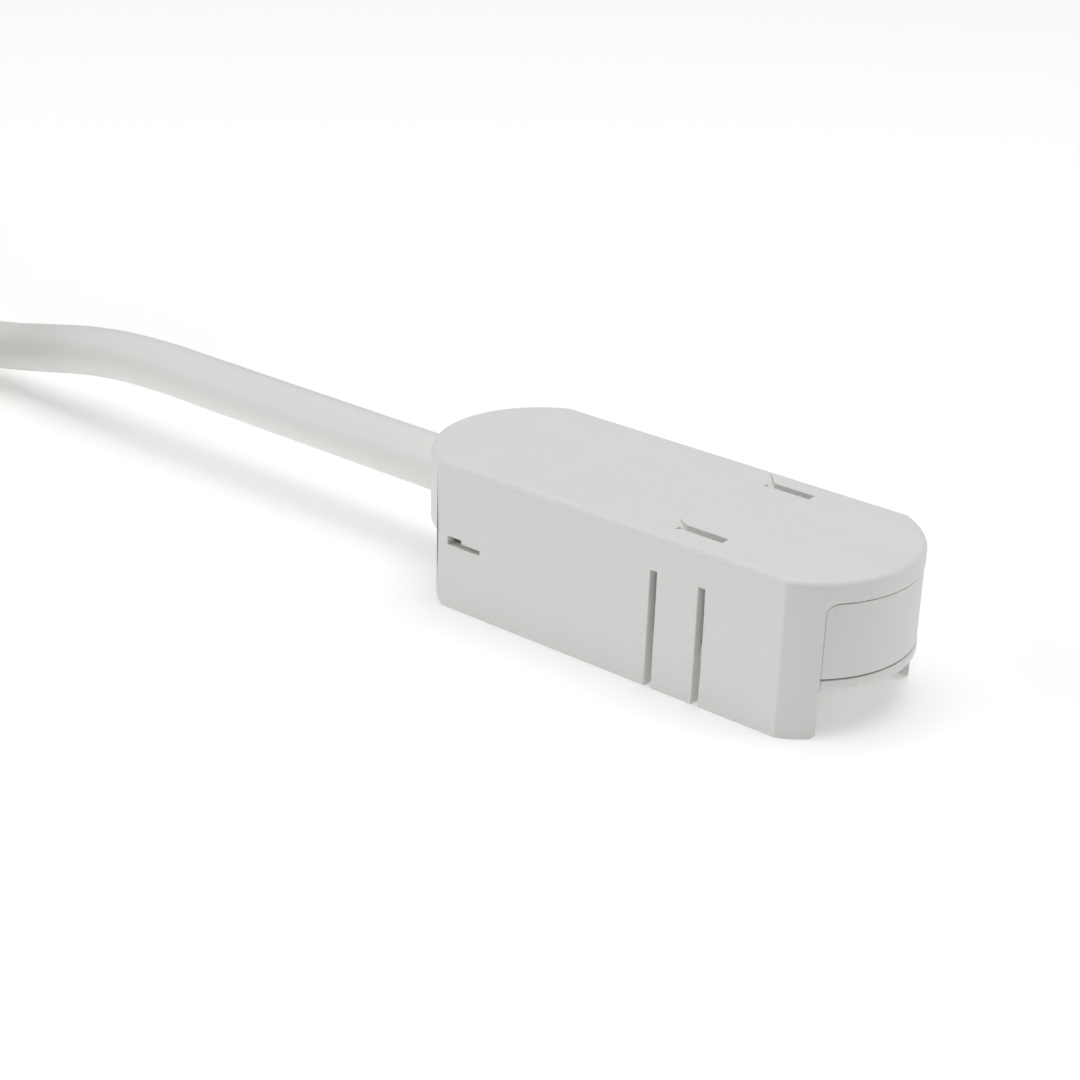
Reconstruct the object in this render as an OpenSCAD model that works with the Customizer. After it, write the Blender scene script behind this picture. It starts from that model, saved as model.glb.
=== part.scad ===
// Surface contact for a door or window: a reed switch in a slim capsule with a
// flying cable, under a clip-on hood whose skirts straddle a fixing plate.
// The origin is under the middle of the hood, on the plane of its rim.
// +X points to the rounded nose, the cable leaves along -X, +Z is up.

/* [Hood] */
// Length over the two rounded ends
hood_l = 44.4; // [37:0.1:60]
// Width over the flat sides
hood_w = 17.2; // [14:0.1:22]
// How much larger the end radius is than half the width
end_over = 1.15; // [0.5:0.05:2]
// Thickness of the side and end walls
wall = 1; // [0.8:0.05:1.2]
// Thickness of the top
top_t = 1; // [0.8:0.05:1.3]
// Rounding along the top edge
edge_r = 0.6; // [0.3:0.05:0.7]
// Height of the channel for the fixing plate, under the capsule
channel_h = 4.1; // [3.8:0.1:5.2]
// How far the end wall over the cable stays above the channel
end_wall_lift = 2.6; // [2:0.1:3]
// Rounding of the skirt corners at the cable end
skirt_corner_r = 0.95; // [0.4:0.05:1.5]

/* [Nose window] */
// Distance of the window's edges inside the flat sides
window_margin = 1.9; // [1.5:0.1:2.4]
// Distance of the window's upper edge below the top
window_drop = 1.8; // [1.5:0.1:2.2]
// Rounding of the window's upper corners
window_r = 0.8; // [0.4:0.1:1.2]
// Rounding of the wall corners beside the window, at the rim
window_foot_r = 0.5; // [0.2:0.1:0.8]

/* [Spring fingers] */
// Middle of the fingers, from the middle of the hood towards the nose
finger_x = 7.4; // [5:0.05:9]
// Width of a finger
finger_w = 3.9; // [3.2:0.05:4.4]
// Width of the slots beside a finger
slot_w = 0.65; // [0.5:0.05:0.9]
// Distance of the top of the slots below the top of the hood
slot_drop = 3; // [2.5:0.1:3.6]
// How much narrower the hook is than the finger, on each side
hook_side = 0.3; // [0.3:0.05:0.6]
// How far the hook stands in from the wall
hook_d = 0.9; // [0.6:0.05:1.1]
// Height of the hook's catch face above the rim
hook_z = 3.2; // [2.6:0.1:3.6]
// Height of the hook
hook_h = 2.4; // [1.8:0.1:2.6]

/* [Core windows in the top] */
// Length of the slot over a hook
core_l = 4.6; // [3.8:0.1:5.6]
// Width of the slot over a hook
core_w = 0.9; // [0.6:0.05:1.1]
// Distance of the slot's middle line inside the flat side
core_inset = 2.7; // [2.3:0.1:3.2]
// Length of the ramp at the slot's cable end
ramp_l = 1.5; // [1:0.1:2]
// Width of the ramp's upper edge
ramp_w = 3.4; // [2.6:0.1:3.6]
// Depth of the ramp where it meets the slot
ramp_d = 0.65; // [0.4:0.05:0.7]

/* [Latch slots in the sides] */
// Distance of the slot from the cable-end corner
latch_inset = 1.1; // [0.9:0.1:2]
// Length of the slot
latch_l = 3.5; // [2.8:0.1:4.2]
// Length of the slot's high end
latch_high_l = 1.5; // [1.2:0.1:1.8]
// Height of the slot's high end
latch_high = 0.75; // [0.6:0.05:0.9]
// Height of the slot's low end
latch_low = 0.4; // [0.3:0.05:0.5]
// Height of the slot's lower edge above the channel
latch_lift = 1.65; // [1.3:0.05:2]

/* [Capsule] */
// Wall of the capsule
body_wall = 1; // [0.8:0.05:1.2]
// Top of the capsule
body_top = 0.8; // [0.7:0.05:1]
// Thickness of the bottom lid
lid_t = 0.8; // [0.7:0.05:1]
// Wall behind the hollows that the hooks pass in
relief_wall = 0.8; // [0.7:0.05:0.9]
// How far the capsule's nose stays behind the hood's face
nose_recess = 0.05; // [0.05:0.05:0.4]
// Height of the groove between the lid and the nose
groove_h = 0.12; // [0.1:0.02:0.4]

/* [Cable] */
// Diameter of the jacket
cable_d = 4.9; // [4.1:0.1:5.9]
// Wall of the rubber sleeve in the capsule's end
sleeve_t = 0.45; // [0.35:0.05:0.6]
// Length of jacket inside the capsule
jacket_in = 6; // [5:0.1:7]
// Diameter of a core
core_d = 1.1; // [0.9:0.05:1.3]

/* [Board and reed switch] */
// Thickness of the circuit board
board_t = 0.8; // [0.6:0.1:1]
// Height of the board above the lid
board_lift = 1; // [0.8:0.1:1.2]
// Bare length between the jacket's end and the board
wire_room = 6.5; // [5:0.1:7.5]
// Length of the glass tube
glass_l = 12; // [10:0.1:14]
// Diameter of the glass tube
glass_d = 2.2; // [1.8:0.05:2.4]
// Gap between the two reed contacts at rest
reed_gap = 0.24; // [0.2:0.01:0.3]

/* [Fits] */
// Clearance between the hood and the capsule
fit_gap = 0.15; // [0.1:0.01:0.2]
// Clearance between the hood's window and the capsule's nose
nose_gap = 0.06; // [0.05:0.01:0.15]
// Clearance between the hood's notch and the cable
notch_gap = 0.2; // [0.15:0.01:0.3]
// Clearance between parts inside the capsule
inner_gap = 0.25; // [0.2:0.01:0.3]

/* [Hidden] */
$fn = 96;
eps = 0.05;    // overshoot of a cutting tool
far = 100;     // longer than the whole part

// Plan of the hood: flat sides and a round end about (+-arc_x, 0)
half_w = hood_w / 2;
end_r = half_w + end_over;
arc_x = hood_l / 2 - end_r;
corner_x = arc_x + sqrt(pow(end_r, 2) - pow(half_w, 2));

// Heights, stacked up from the rim
lid_z = channel_h;
cavity_z = lid_z + lid_t;
cavity_h = cable_d + 2 * sleeve_t + 2 * inner_gap;
ceiling_z = cavity_z + cavity_h;
body_z = ceiling_z + body_top;
hood_h = body_z + top_t;
cable_z = cavity_z + cavity_h / 2;
slot_z = hood_h - slot_drop;
window_z = hood_h - window_drop;

// Plan of the capsule and of its cavity
body_in = wall + fit_gap;
cavity_in = body_in + body_wall;
window_half = half_w - window_margin;
nose_half = window_half - nose_gap;
relief_y = half_w - wall - hook_d - fit_gap;
hook_half = finger_w / 2 - hook_side;
relief_x = hook_half + 2 * fit_gap;
narrow_y = relief_y - relief_wall;

// Board, pads and posts
board_z = cavity_z + board_lift;
board_top = board_z + board_t;
board_half = narrow_y - inner_gap;
pad_inset = 1.5;     // from the board's cable end to the pads
post_inset = 1;      // from the board's sides to the posts
post_from_end = [4.6, 1.3];
reed_end_room = 2.6; // from the reed's pad to the board's nose end
board_x0 = -(arc_x + end_r - cavity_in) + jacket_in + wire_room;
board_x1 = arc_x + sqrt(pow(end_r - cavity_in, 2) - pow(board_half, 2)) - 2 * inner_gap;
jacket_x = -(arc_x + end_r - cavity_in) + jacket_in;
pad_x = board_x0 + pad_inset;
pad_y = board_half * 0.75;
post_r = 0.8;
post_y = board_half - post_inset;
post_x = [board_x0 + post_from_end[0], board_x1 - post_from_end[1]];
solder_h = 0.7;
solder_r = 0.8;
track_t = 0.06;

// Reed switch, along X over the board
lead_r = 0.25;
lead_out = 1.6;
lead_in = 0.5;
blade_t = 0.18;
blade_w = 0.8;
blade_lap = 0.8;
glass_wall = 0.35;
seal_l = 0.8;
reed_z = board_top + inner_gap + glass_d / 2;
reed_x = board_x1 - reed_end_room - glass_l / 2 - lead_out;
reed_span = glass_l / 2 + lead_out;
root_x = glass_l / 2 - seal_l - lead_in;

// Free cable: it leaves the hood straight, sinks to the surface and runs into a tied hank
exit_x = -hood_l / 2;
core_off = 0.17 * cable_d;   // from the cable's middle to a core's, along Y and Z
hank_lift = 0.6;     // thickness of the strap under the hank
route = [[-32, 0, 0], [-36, 0, 0], [-40, 0, 0], [-44, 0, 0], [-48, 0, 0], [-52, 0, 0], [-56, 0, 0],
         [-60, 0, 0], [-66, 0, -0.3], [-72, 0, -1.1], [-78, 0, -2.3], [-84, 0, -3.5], [-90, 0, -4.4],
         [-97, 0, -4.9], [-104, 0, -5]];
hank_x = -104;       // where the cable joins the hank's outer turn
hank_run = 82.5;     // straight length of the hank
hank_bend = 14.7;    // radius of the inner turns at the hank's ends
hank_columns = 2;
hank_layers = 4;
hank_pitch = cable_d + 0.1;
hank_in_r = hank_bend - cable_d / 2;
hank_out_r = hank_bend + (hank_columns - 1) * hank_pitch + cable_d / 2;
hank_y = cable_d / 2 - hank_out_r;
hank_top = hank_lift + (hank_layers - 1) * hank_pitch + cable_d;
strap_w = 6;
strap_x = hank_x - hank_run / 2;
tip_l = 6;
tip_r = 0.3;

white = [0.84, 0.84, 0.83];
jacket_white = [0.86, 0.86, 0.85];

// ---------- helpers ----------

// Plan outline, set in by d from the hood's faces
module plan(d) {
    intersection() {
        square([hood_l, 2 * (half_w - d)], center = true);
        union() {
            square([2 * arc_x, 2 * (end_r - d)], center = true);
            for (s = [-1, 1])
                translate([s * arc_x, 0])
                    circle(end_r - d);
        }
    }
}

module slab(d, z0, z1) {
    translate([0, 0, z0])
        linear_extrude(z1 - z0)
            plan(d);
}

module mirrored_y() {
    children();
    mirror([0, 1, 0])
        children();
}

// A YZ profile extruded along X from x0 to x1
module along_x(x0, x1) {
    translate([x0, 0, 0])
        rotate([90, 0, 90])
            linear_extrude(x1 - x0)
                children();
}

// An XZ profile extruded along Y from y0 to y1
module along_y(y0, y1) {
    translate([0, y1, 0])
        rotate([90, 0, 0])
            linear_extrude(y1 - y0)
                children();
}

// Half of an upright section, x from 0 to half, with a rounded top corner
module half_section(half, h, r) {
    square([half - r, h]);
    square([half, h - r]);
    translate([half - r, h - r])
        circle(r);
}

// Solid hood with a rounded top edge
module hood_solid() {
    intersection() {
        along_x(-far, far) {
            half_section(half_w, hood_h, edge_r);
            mirror([1, 0])
                half_section(half_w, hood_h, edge_r);
        }
        union() {
            translate([-arc_x, -end_r, 0])
                cube([2 * arc_x, 2 * end_r, hood_h]);
            for (s = [-1, 1])
                translate([s * arc_x, 0, 0])
                    rotate_extrude()
                        half_section(end_r, hood_h, edge_r);
        }
    }
}

// Opening in the nose: rounded above, eased at the rim
module window_section(half, z1, r) {
    translate([-half, -eps])
        square([2 * half, z1 - r + eps]);
    translate([-half + r, -eps])
        square([2 * (half - r), z1 + eps]);
    for (s = [-1, 1])
        translate([s * (half - r), z1 - r])
            circle(r, $fn = 48);
}

function unit(v) = v / norm(v);
function mix(a, b, t) = a * (1 - t) + b * t;
function bezier(p, t) =
    let (a = mix(p[0], p[1], t), b = mix(p[1], p[2], t), c = mix(p[2], p[3], t))
    mix(mix(a, b, t), mix(b, c, t), t);
function bezier_points(p, steps) = [for (i = [0 : steps]) bezier(p, i / steps)];
function tangent(p, i) = unit(p[min(i + 1, len(p) - 1)] - p[max(i - 1, 0)]);
function square_to(v, t) = unit(v - (v * t) * t);
// Normals carried along the path without twist
function normals(p, start, i = 0) =
    i == len(p) ? [] :
    let (n = square_to(start, tangent(p, i)))
    concat([n], normals(p, n, i + 1));

// Round tube through the points, closed at both ends
module tube(p, r, sides, start = [0, 0, 1]) {
    n = normals(p, start);
    rings = [for (i = [0 : len(p) - 1])
        let (b = cross(tangent(p, i), n[i]))
        for (k = [0 : sides - 1])
            p[i] + r * (cos(360 * k / sides) * n[i] + sin(360 * k / sides) * b)];
    last = (len(p) - 1) * sides;
    faces = concat(
        [[for (k = [0 : sides - 1]) k]],
        [[for (k = [sides - 1 : -1 : 0]) last + k]],
        [for (i = [0 : len(p) - 2], k = [0 : sides - 1])
            let (a = i * sides + k, b = i * sides + (k + 1) % sides)
            [a, a + sides, b + sides, b]]);
    polyhedron(rings, faces, convexity = 4);
}

// ---------- hood ----------

module core_window() {
    x0 = finger_x - core_l / 2;
    y0 = -half_w + core_inset;
    translate([x0, y0 - core_w / 2, ceiling_z])
        cube([core_l, core_w, far]);
    // ramp that narrows down into the slot's cable end
    intersection() {
        along_y(-half_w, 0)
            polygon([[x0 - ramp_l / 2, hood_h + eps], [x0 - ramp_l / 2, hood_h],
                     [x0 + ramp_l / 2, hood_h - ramp_d], [x0 + ramp_l / 2, hood_h + eps]]);
        translate([0, 0, body_z])
            linear_extrude(far)
                polygon([[x0 - ramp_l / 2, -half_w + edge_r], [x0 + ramp_l / 2, y0 - core_w / 2],
                         [x0 + ramp_l / 2, y0 + core_w / 2], [x0 - ramp_l / 2, -half_w + edge_r + ramp_w]]);
    }
}

module latch_slot() {
    x0 = -corner_x + latch_inset;
    z0 = channel_h + latch_lift;
    translate([x0, -half_w - eps, z0])
        cube([latch_high_l, wall + 2 * eps, latch_high]);
    translate([x0, -half_w - eps, z0])
        cube([latch_l, wall + 2 * eps, latch_low]);
}

module finger_gap() {
    half = finger_w / 2 + slot_w;
    translate([finger_x - half, -half_w - eps, -eps])
        cube([2 * half, wall + 2 * eps, slot_z + eps]);
}

module skirt_corner_cut() {
    along_y(-far, far)
        translate([-corner_x, 0])
            difference() {
                translate([-eps, -eps])
                    square(skirt_corner_r + eps);
                translate([skirt_corner_r, skirt_corner_r])
                    circle(skirt_corner_r);
            }
}

module window_foot_cut() {
    along_x(arc_x, far)
        translate([-window_half - window_foot_r, 0])
            difference() {
                translate([0, -eps])
                    square(window_foot_r + eps);
                translate([0, window_foot_r])
                    circle(window_foot_r, $fn = 48);
            }
}

module hood_cover() {
    color(white)
        difference() {
            hood_solid();
            slab(wall, -eps, body_z);
            mirrored_y() {
                core_window();
                latch_slot();
                finger_gap();
                window_foot_cut();
            }
            skirt_corner_cut();
            along_x(arc_x, far)
                window_section(window_half, window_z, window_r);
            // the cable end is open under the end wall
            translate([-corner_x - far, -far, -eps])
                cube([far, 2 * far, channel_h + end_wall_lift + eps]);
            // notch for the cable
            along_x(-far, -arc_x) {
                translate([0, cable_z])
                    circle(cable_d / 2 + notch_gap);
                translate([-cable_d / 2 - notch_gap, 0])
                    square([cable_d + 2 * notch_gap, cable_z]);
            }
        }
}

module snap_finger() {
    color(white) {
        y1 = -half_w + wall;
        translate([finger_x - finger_w / 2, -half_w, 0])
            cube([finger_w, wall, slot_z]);
        rotate([90, 0, 90])
            translate([0, 0, finger_x - hook_half])
                linear_extrude(2 * hook_half)
                    polygon([[y1 - eps, hook_z], [y1 + hook_d, hook_z],
                             [y1 + hook_d, hook_z - hook_h / 4], [y1, hook_z - hook_h],
                             [y1 - eps, hook_z - hook_h]]);
    }
}

module snap_finger_near() snap_finger();
module snap_finger_far() mirror([0, 1, 0]) snap_finger();

// ---------- capsule ----------

// Hollows that let the hooks pass when the hood is lifted off
module hook_relief(z0, z1) {
    mirrored_y()
        translate([finger_x - relief_x, -half_w, z0])
            cube([2 * relief_x, half_w - relief_y, z1 - z0]);
}

module cavity() {
    difference() {
        slab(cavity_in, cavity_z - eps, ceiling_z);
        mirrored_y()
            translate([finger_x - relief_x - relief_wall, -half_w, cavity_z - 2 * eps])
                cube([2 * (relief_x + relief_wall), half_w - narrow_y, cavity_h + 3 * eps]);
    }
}

module nose_boss() {
    z0 = cavity_z + groove_h;
    intersection() {
        translate([arc_x, 0, z0])
            cylinder(r = end_r - nose_recess, h = window_z - nose_gap - z0);
        along_x(arc_x + end_r - cavity_in, far)
            window_section(nose_half, window_z - nose_gap, window_r - nose_gap);
    }
    intersection() {
        translate([arc_x, 0, z0])
            difference() {
                cylinder(r = end_r - nose_recess, h = window_z - nose_gap - z0);
                translate([0, 0, -eps])
                    cylinder(r = end_r - body_in - body_wall / 2, h = far);
            }
        along_x(arc_x, far)
            window_section(nose_half, window_z - nose_gap, window_r - nose_gap);
    }
}

module capsule_body() {
    color(white) {
        difference() {
            union() {
                difference() {
                    slab(body_in, cavity_z, body_z);
                    cavity();
                }
                nose_boss();
            }
            hook_relief(cavity_z - eps, far);
            // bore for the cable sleeve
            translate([-far, 0, cable_z])
                rotate([0, 90, 0])
                    cylinder(r = cable_d / 2 + sleeve_t, h = far - arc_x);
            // hollows under the core windows
            mirrored_y()
                translate([finger_x - core_l / 2, -half_w + core_inset - core_w / 2, body_z - body_top / 2])
                    cube([core_l, core_w, body_top]);
        }
        // posts that hold the board down
        for (x = post_x, s = [-1, 1])
            translate([x, s * post_y, board_top])
                cylinder(r = post_r, h = ceiling_z - board_top + eps, $fn = 32);
        // latch nubs in the hood's side slots
        mirrored_y()
            translate([-corner_x + latch_inset + fit_gap, -half_w + body_in - fit_gap / 2,
                       channel_h + latch_lift + fit_gap])
                cube([latch_high_l - 2 * fit_gap, fit_gap, latch_high - 2 * fit_gap]);
    }
}

module bottom_lid() {
    rib_l = 7.8;
    color(white) {
        difference() {
            union() {
                slab(body_in, lid_z, cavity_z);
                // lip that fills the foot of the nose window
                intersection() {
                    translate([arc_x, 0, lid_z])
                        cylinder(r = end_r, h = lid_t);
                    translate([arc_x, -nose_half, lid_z])
                        cube([far, 2 * nose_half, lid_t]);
                }
            }
            hook_relief(lid_z - eps, cavity_z + eps);
        }
        // ribs that locate the lid in the cavity
        mirrored_y()
            translate([board_x0, -half_w + cavity_in + fit_gap, cavity_z - eps])
                cube([rib_l, relief_wall, board_lift / 2 + eps]);
        // posts that carry the board
        for (x = post_x, s = [-1, 1])
            translate([x, s * post_y, cavity_z - eps])
                cylinder(r = post_r, h = board_lift + eps, $fn = 32);
    }
}

// ---------- cable entry ----------

module cable_sleeve() {
    sleeve_r = cable_d / 2 + sleeve_t;
    x0 = -(arc_x + sqrt(pow(end_r - body_in, 2) - pow(sleeve_r, 2)));
    color("dimgray")
        translate([x0, 0, cable_z])
            rotate([0, 90, 0])
                difference() {
                    cylinder(r = sleeve_r, h = body_wall + jacket_in / 3);
                    translate([0, 0, -eps])
                        cylinder(r = cable_d / 2, h = far);
                }
}

module jacket_inner_end() {
    color(jacket_white)
        translate([exit_x, 0, cable_z])
            rotate([0, 90, 0])
                cylinder(r = cable_d / 2, h = jacket_x - exit_x);
}

// Nylon tie round the jacket, behind the sleeve
module cable_clamp_tie() {
    band_w = 2;
    head = 2.4;
    end_room = 0.6;    // jacket left beyond the band
    head_over = 0.3;   // how far the head stands out beside the band
    sink = 0.1;        // how far the head sinks into the band
    color("ivory")
        difference() {
            union() {
                translate([jacket_x - band_w - end_room, 0, cable_z])
                    rotate([0, 90, 0])
                        cylinder(r = cable_d / 2 + sleeve_t, h = band_w);
                translate([jacket_x - band_w - end_room - head_over, cable_d / 2 - sink, cable_z - head / 2])
                    cube([band_w + 2 * head_over, head, head]);
            }
            translate([exit_x, 0, cable_z])
                rotate([0, 90, 0])
                    cylinder(r = cable_d / 2, h = far);
        }
}

// Core number k of four, from the jacket to its pad
module inner_core(k) {
    side = [-1, -1, 1, 1][k];
    high = [1, -1, -1, 1][k];
    y1 = [-pad_y, -pad_y / 3, pad_y / 3, pad_y][k];
    z1 = board_top + solder_h;
    a = [jacket_x, side * core_off, cable_z + high * core_off];
    b = [pad_x, y1, z1 + core_d / 3];
    reach = [0.6 * wire_room, 0, 0];
    rise = [0, 0, 1.3];
    tube(concat(bezier_points([a, a + reach, b + rise, b], 11), [[pad_x, y1, z1]]),
         core_d / 2, 8, [0, 1, 0]);
}

module core_white() color("white") inner_core(0);
module core_brown() color("saddlebrown") inner_core(1);
module core_green() color("seagreen") inner_core(2);
module core_yellow() color("gold") inner_core(3);

// ---------- board and reed switch ----------

module circuit_board() {
    color("darkgreen")
        translate([board_x0, -board_half, board_z])
            cube([board_x1 - board_x0, 2 * board_half, board_t]);
}

// Copper under the board: two tracks to the reed and the link of the tamper pair
module copper_tracks() {
    track_w = 0.8;
    color("peru")
        translate([0, 0, board_z - track_t]) {
            translate([pad_x - track_w / 2, pad_y / 3 - track_w / 2, 0])
                cube([track_w, pad_y * 2 / 3 + track_w, track_t]);
            translate([pad_x, -pad_y / 3 - track_w / 2, 0])
                cube([reed_x - reed_span - pad_x, track_w, track_t]);
            difference() {
                translate([pad_x, -pad_y - track_w / 2, 0])
                    cube([reed_x + reed_span - pad_x, track_w, track_t]);
                for (x = post_x)
                    translate([x, -post_y, -eps])
                        cylinder(r = post_r + inner_gap, h = 1, $fn = 32);
            }
        }
}

module solder_cone() {
    rotate_extrude($fn = 32)
        polygon([[0, 0], [solder_r, 0], [solder_r * 0.6, solder_h * 0.4], [core_d / 2, solder_h],
                 [0, solder_h]]);
}

module solder_joints() {
    color("silver") {
        for (y = [-pad_y, -pad_y / 3, pad_y / 3, pad_y])
            translate([pad_x, y, board_top])
                solder_cone();
        for (s = [-1, 1])
            translate([reed_x + s * reed_span, 0, board_top])
                solder_cone();
    }
}

module reed_adhesive() {
    pad = 3;
    color("gainsboro")
        difference() {
            translate([reed_x - pad / 2, -glass_d / 2 + 0.1, board_top])
                cube([pad, glass_d - 0.2, inner_gap + glass_d / 4]);
            translate([reed_x, 0, reed_z])
                rotate([0, 90, 0])
                    cylinder(d = glass_d, h = far, center = true);
        }
}

module reed_glass() {
    end = glass_d / 2;
    neck_r = 0.7 * end;
    color("lightgreen", 0.4)
        translate([reed_x, 0, reed_z])
            rotate([0, 90, 0])
                difference() {
                    union() {
                        cylinder(d = glass_d, h = glass_l - end, center = true);
                        for (s = [-1, 1])
                            translate([0, 0, s * (glass_l / 2 - end / 2)])
                                cylinder(r = neck_r, h = end, center = true);
                    }
                    cylinder(d = glass_d - 2 * glass_wall, h = glass_l - 2 * seal_l, center = true);
                    cylinder(r = lead_r, h = far, center = true);
                }
}

// Lead from inside the seal, out of the glass and down to its pad
module reed_lead(s) {
    translate([reed_x, 0, reed_z]) {
        rotate([0, s * 90, 0])
            translate([0, 0, root_x])
                cylinder(r = lead_r, h = reed_span - root_x);
        translate([s * reed_span, 0, 0])
            sphere(r = lead_r);
        translate([s * reed_span, 0, board_top + solder_h - reed_z])
            cylinder(r = lead_r, h = reed_z - board_top - solder_h);
    }
}

module fixed_reed() {
    color("silver") {
        reed_lead(1);
        translate([reed_x - blade_lap / 2, -blade_w / 2, reed_z - reed_gap / 2 - blade_t])
            cube([root_x + blade_lap / 2 + lead_in / 2, blade_w, blade_t]);
    }
}

module moving_reed_lead() color("silver") reed_lead(-1);

module moving_reed_blade() {
    color("silver")
        translate([reed_x - root_x, -blade_w / 2, reed_z + reed_gap / 2])
            cube([root_x + blade_lap / 2, blade_w, blade_t]);
}

// ---------- free cable ----------

module cable_run() {
    color(jacket_white)
        tube(concat([[exit_x, 0, cable_z]], [for (p = route) p + [0, 0, cable_z]]),
             cable_d / 2, 12);
}

// Plan of the hank out to the radius r at its round ends
module hank_plan(r) {
    translate([hank_x - hank_run, hank_y - r])
        square([hank_run, 2 * r]);
    for (x = [hank_x - hank_run, hank_x])
        translate([x, hank_y])
            circle(r);
}

module cable_hank() {
    color(jacket_white)
        translate([0, 0, hank_lift])
            linear_extrude(hank_top - hank_lift)
                difference() {
                    hank_plan(hank_out_r);
                    hank_plan(hank_in_r);
                }
}

// Section of the hank across its two runs, let out by d
module hank_section(d) {
    translate([hank_y - hank_out_r - d, hank_lift - d])
        square([2 * (hank_out_r + d), hank_top - hank_lift + 2 * d]);
}

module hank_strap() {
    color("dimgray")
        along_x(strap_x - strap_w / 2, strap_x + strap_w / 2)
            difference() {
                hank_section(hank_lift);
                hank_section(0);
            }
}

// The jacket ends on the hank's inner turn, in the bottom layer, and points to -X there
jacket_end = [hank_x - hank_run / 20, hank_y + hank_bend, hank_lift + cable_d / 2];
// Each lead's end from the jacket's end, its heading there and the reach of its bends
lead_ends = [[-23, -3.8], [-22.5, -8.6], [-21.5, -12.6], [-19, -16.8]];
lead_headings = [188, 204, 216, 232];
lead_reach = [11, 9, 8, 7];
lead_straight = 1;
lead_z = core_d / 2 + 0.05;
function heading(k) = [cos(lead_headings[k]), sin(lead_headings[k]), 0];
function lead_foot(k) = [jacket_end[0] + lead_ends[k][0], jacket_end[1] + lead_ends[k][1], lead_z];

// Far lead number k of four, from the jacket's end down to the surface inside the hank
module far_lead(k) {
    side = [1, 1, -1, -1][k];
    high = [-1, 1, 1, -1][k];
    a = jacket_end + core_off * [0, side, high];
    b = lead_foot(k) - heading(k) * lead_straight;
    tube(concat(bezier_points([a, a - [lead_reach[k], 0, 0], b - heading(k) * lead_reach[k], b], 14),
                [lead_foot(k)]), core_d / 2, 8);
}

module lead_white() color("white") far_lead(0);
module lead_brown() color("saddlebrown") far_lead(1);
module lead_green() color("seagreen") far_lead(2);
module lead_yellow() color("gold") far_lead(3);

module tinned_tips() {
    color("silver")
        for (k = [0 : 3])
            translate(lead_foot(k))
                rotate([0, 90, lead_headings[k]])
                    cylinder(r = tip_r, h = tip_l, $fn = 24);
}

hood_cover();
snap_finger_near();
snap_finger_far();
capsule_body();
bottom_lid();
cable_sleeve();
cable_clamp_tie();
jacket_inner_end();
core_white();
core_brown();
core_green();
core_yellow();
circuit_board();
copper_tracks();
solder_joints();
reed_adhesive();
reed_glass();
fixed_reed();
moving_reed_lead();
moving_reed_blade();
cable_run();
cable_hank();
hank_strap();
lead_white();
lead_brown();
lead_green();
lead_yellow();
tinned_tips();
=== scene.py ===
import math

import bmesh
import bpy
from mathutils import Matrix, Vector


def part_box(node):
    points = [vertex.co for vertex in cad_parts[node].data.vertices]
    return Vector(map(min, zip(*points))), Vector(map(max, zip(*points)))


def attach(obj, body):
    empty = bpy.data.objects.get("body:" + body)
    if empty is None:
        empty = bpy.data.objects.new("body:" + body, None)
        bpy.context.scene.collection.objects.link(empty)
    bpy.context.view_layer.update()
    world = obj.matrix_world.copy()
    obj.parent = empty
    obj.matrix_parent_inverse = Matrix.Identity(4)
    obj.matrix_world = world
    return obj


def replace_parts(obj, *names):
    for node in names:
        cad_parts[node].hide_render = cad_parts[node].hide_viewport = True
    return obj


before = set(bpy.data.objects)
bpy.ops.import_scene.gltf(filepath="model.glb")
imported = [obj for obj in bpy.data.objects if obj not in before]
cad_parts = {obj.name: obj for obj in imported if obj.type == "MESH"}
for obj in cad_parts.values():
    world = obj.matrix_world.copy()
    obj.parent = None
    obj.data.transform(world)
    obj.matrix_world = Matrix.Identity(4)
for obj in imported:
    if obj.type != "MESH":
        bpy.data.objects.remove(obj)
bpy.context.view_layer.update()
scene = bpy.context.scene
mm = 0.001

viewer = {
    "place": (0.09366, -0.13188, 0.07888),
    "yaw": 38.98,          # degrees to the left of straight along +Y
    "down": 23.74,         # degrees below level
    "roll": 1.96,
    "lens": 72.76,
    "clip": (0.005, 30.0),
}


def placeCamera():
    yaw, down, roll = (math.radians(viewer[k]) for k in ("yaw", "down", "roll"))
    ahead = Vector((-math.sin(yaw) * math.cos(down), math.cos(yaw) * math.cos(down), -math.sin(down)))
    right = Vector((math.cos(yaw), math.sin(yaw), 0.0))
    up = right.cross(ahead)
    tiltedRight = right * math.cos(roll) + up * math.sin(roll)
    tiltedUp = up * math.cos(roll) - right * math.sin(roll)
    turn = Matrix((tiltedRight, tiltedUp, -ahead)).transposed()
    data = bpy.data.cameras.new("camera")
    data.lens = viewer["lens"]
    data.clip_start, data.clip_end = viewer["clip"]
    camera = bpy.data.objects.new("camera", data)
    camera.matrix_world = Matrix.Translation(viewer["place"]) @ turn.to_4x4()
    scene.collection.objects.link(camera)
    scene.camera = camera


placeCamera()
print("camera placed")


# Helpers for shader nodes

def put(tree, kind, inputs=None, **settings):
    node = tree.nodes.new(kind)
    for key, value in settings.items():
        setattr(node, key, value)
    for key, value in (inputs or {}).items():
        if isinstance(value, bpy.types.NodeSocket):
            tree.links.new(value, node.inputs[key])
        else:
            node.inputs[key].default_value = value
    return node


def startGroup(name, inputs, outputs):
    tree = bpy.data.node_groups.new(name, "ShaderNodeTree")
    for label, kind, value in inputs:
        socket = tree.interface.new_socket(name=label, in_out="INPUT", socket_type=kind)
        if value is not None:
            socket.default_value = value
    for label, kind in outputs:
        tree.interface.new_socket(name=label, in_out="OUTPUT", socket_type=kind)
    return tree, put(tree, "NodeGroupInput").outputs, put(tree, "NodeGroupOutput").inputs


def arith(tree, operation, a, b=0.0):
    return put(tree, "ShaderNodeMath", {0: a, 1: b}, operation=operation).outputs[0]


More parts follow.
